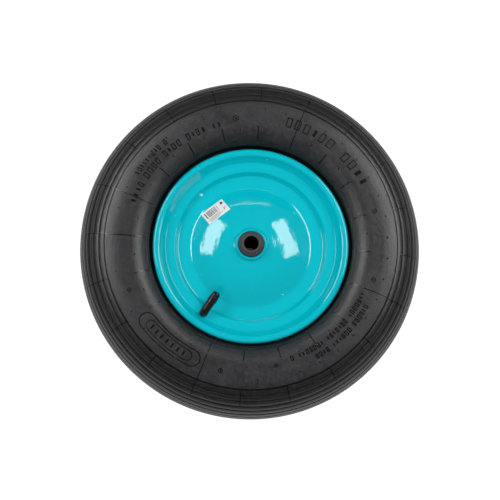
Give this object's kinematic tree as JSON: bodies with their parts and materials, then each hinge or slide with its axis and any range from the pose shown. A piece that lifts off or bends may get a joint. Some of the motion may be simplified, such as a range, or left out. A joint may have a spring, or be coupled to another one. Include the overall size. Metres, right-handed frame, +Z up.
{
  "type": "wheelbarrow wheel",
  "caption": "Air-filled wheelbarrow wheel: ribbed tyre on a domed steel rim that turns on ball bearings around a plain through bore for the axle.",
  "frame": {"origin": "centre of the wheel, on its axle's line in its middle plane", "axes": "+Y along the axle, away from the front face, which carries the valve and looks along -Y; +Z up; +X to the right seen from the front"},
  "size_m": [0.3999, 0.104, 0.4],
  "materials": {
    "tyre_rubber": "black moulded rubber, slightly dusty",
    "bead_wire": "drawn steel wire",
    "tube_rubber": "smooth black butyl rubber",
    "teal_paint": "glossy teal powder coat",
    "black_steel": "black-oxide tube",
    "bearing_steel": "ground bearing steel",
    "ball_steel": "polished steel",
    "seal_rubber": "matt black nitrile rubber",
    "cage_nylon": "natural nylon",
    "bush_plastic": "satin black nylon",
    "valve_rubber": "satin black rubber",
    "valve_brass": "machined brass",
    "core_seal": "red sealing ring",
    "pin_rubber": "black sealing rubber",
    "spring_steel": "spring wire",
    "cap_plastic": "black plastic",
    "label_paper": "white printed paper"
  },
  "bodies": {
    "hub_core": {"front_end_bush": "bush_plastic", "rear_end_bush": "bush_plastic", "spacer_sleeve": "black_steel", "front_bearing_inner_ring": "bearing_steel", "rear_bearing_inner_ring": "bearing_steel"},
    "wheel": {"tyre": "tyre_rubber", "front_bead_wire": "bead_wire", "rear_bead_wire": "bead_wire", "inner_tube": "tube_rubber", "rim_band": "teal_paint", "front_disc": "teal_paint", "rear_disc": "teal_paint", "front_disc_weld": "teal_paint", "rear_disc_weld": "teal_paint", "front_hub_weld": "teal_paint", "rear_hub_weld": "teal_paint", "hub_tube": "teal_paint", "front_bearing_outer_ring": "bearing_steel", "rear_bearing_outer_ring": "bearing_steel", "front_bearing_outer_seal": "seal_rubber", "front_bearing_inner_seal": "seal_rubber", "rear_bearing_outer_seal": "seal_rubber", "rear_bearing_inner_seal": "seal_rubber", "valve_stem_rubber": "valve_rubber", "valve_insert": "valve_brass", "valve_core": "valve_brass", "valve_core_seal": "core_seal", "valve_spring": "spring_steel", "rim_label": "label_paper"},
    "front_cage": {"front_bearing_cage": "cage_nylon", "front_bearing_balls": "ball_steel"},
    "rear_cage": {"rear_bearing_cage": "cage_nylon", "rear_bearing_balls": "ball_steel"},
    "valve_pin": {"valve_pin": "valve_brass", "valve_pin_seal": "pin_rubber"},
    "cap_seal": {"valve_cap_seal": "pin_rubber"},
    "valve_cap": {"valve_cap": "cap_plastic"}
  },
  "joints": [
    {"name": "wheel_spin", "type": "hinge", "parent": "hub_core", "child": "wheel", "pos_m": [0, 0, 0], "axis": [0, 1, 0], "continuous": true},
    {"name": "front_cage_spin", "type": "hinge", "parent": "hub_core", "child": "front_cage", "pos_m": [0, -0.0375, 0], "axis": [0, 1, 0], "continuous": true},
    {"name": "rear_cage_spin", "type": "hinge", "parent": "hub_core", "child": "rear_cage", "pos_m": [0, 0.0375, 0], "axis": [0, 1, 0], "continuous": true},
    {"name": "valve_press", "type": "slide", "parent": "wheel", "child": "valve_pin", "axis": [-0.5693, 0.1219, -0.813], "range_m": [0, 0.0012], "stiffness_N_per_m": 600, "deforming": ["valve_spring"]},
    {"name": "cap_lift", "type": "slide", "parent": "wheel", "child": "cap_seal", "axis": [0.5693, -0.1219, 0.813], "range_m": [0, 0.00715]},
    {"name": "cap_turn", "type": "hinge", "parent": "cap_seal", "child": "valve_cap", "pos_m": [-0.04438, -0.03421, -0.06339], "axis": [0.5693, -0.1219, 0.813], "range_deg": [0, 3240]}
  ],
  "couplings": [
    {"joint": "front_cage_spin", "follows": "wheel_spin", "ratio": 0.56731},
    {"joint": "rear_cage_spin", "follows": "wheel_spin", "ratio": 0.56731},
    {"joint": "cap_turn", "follows": "cap_lift", "rad_per_m": 7913.3}
  ]
}
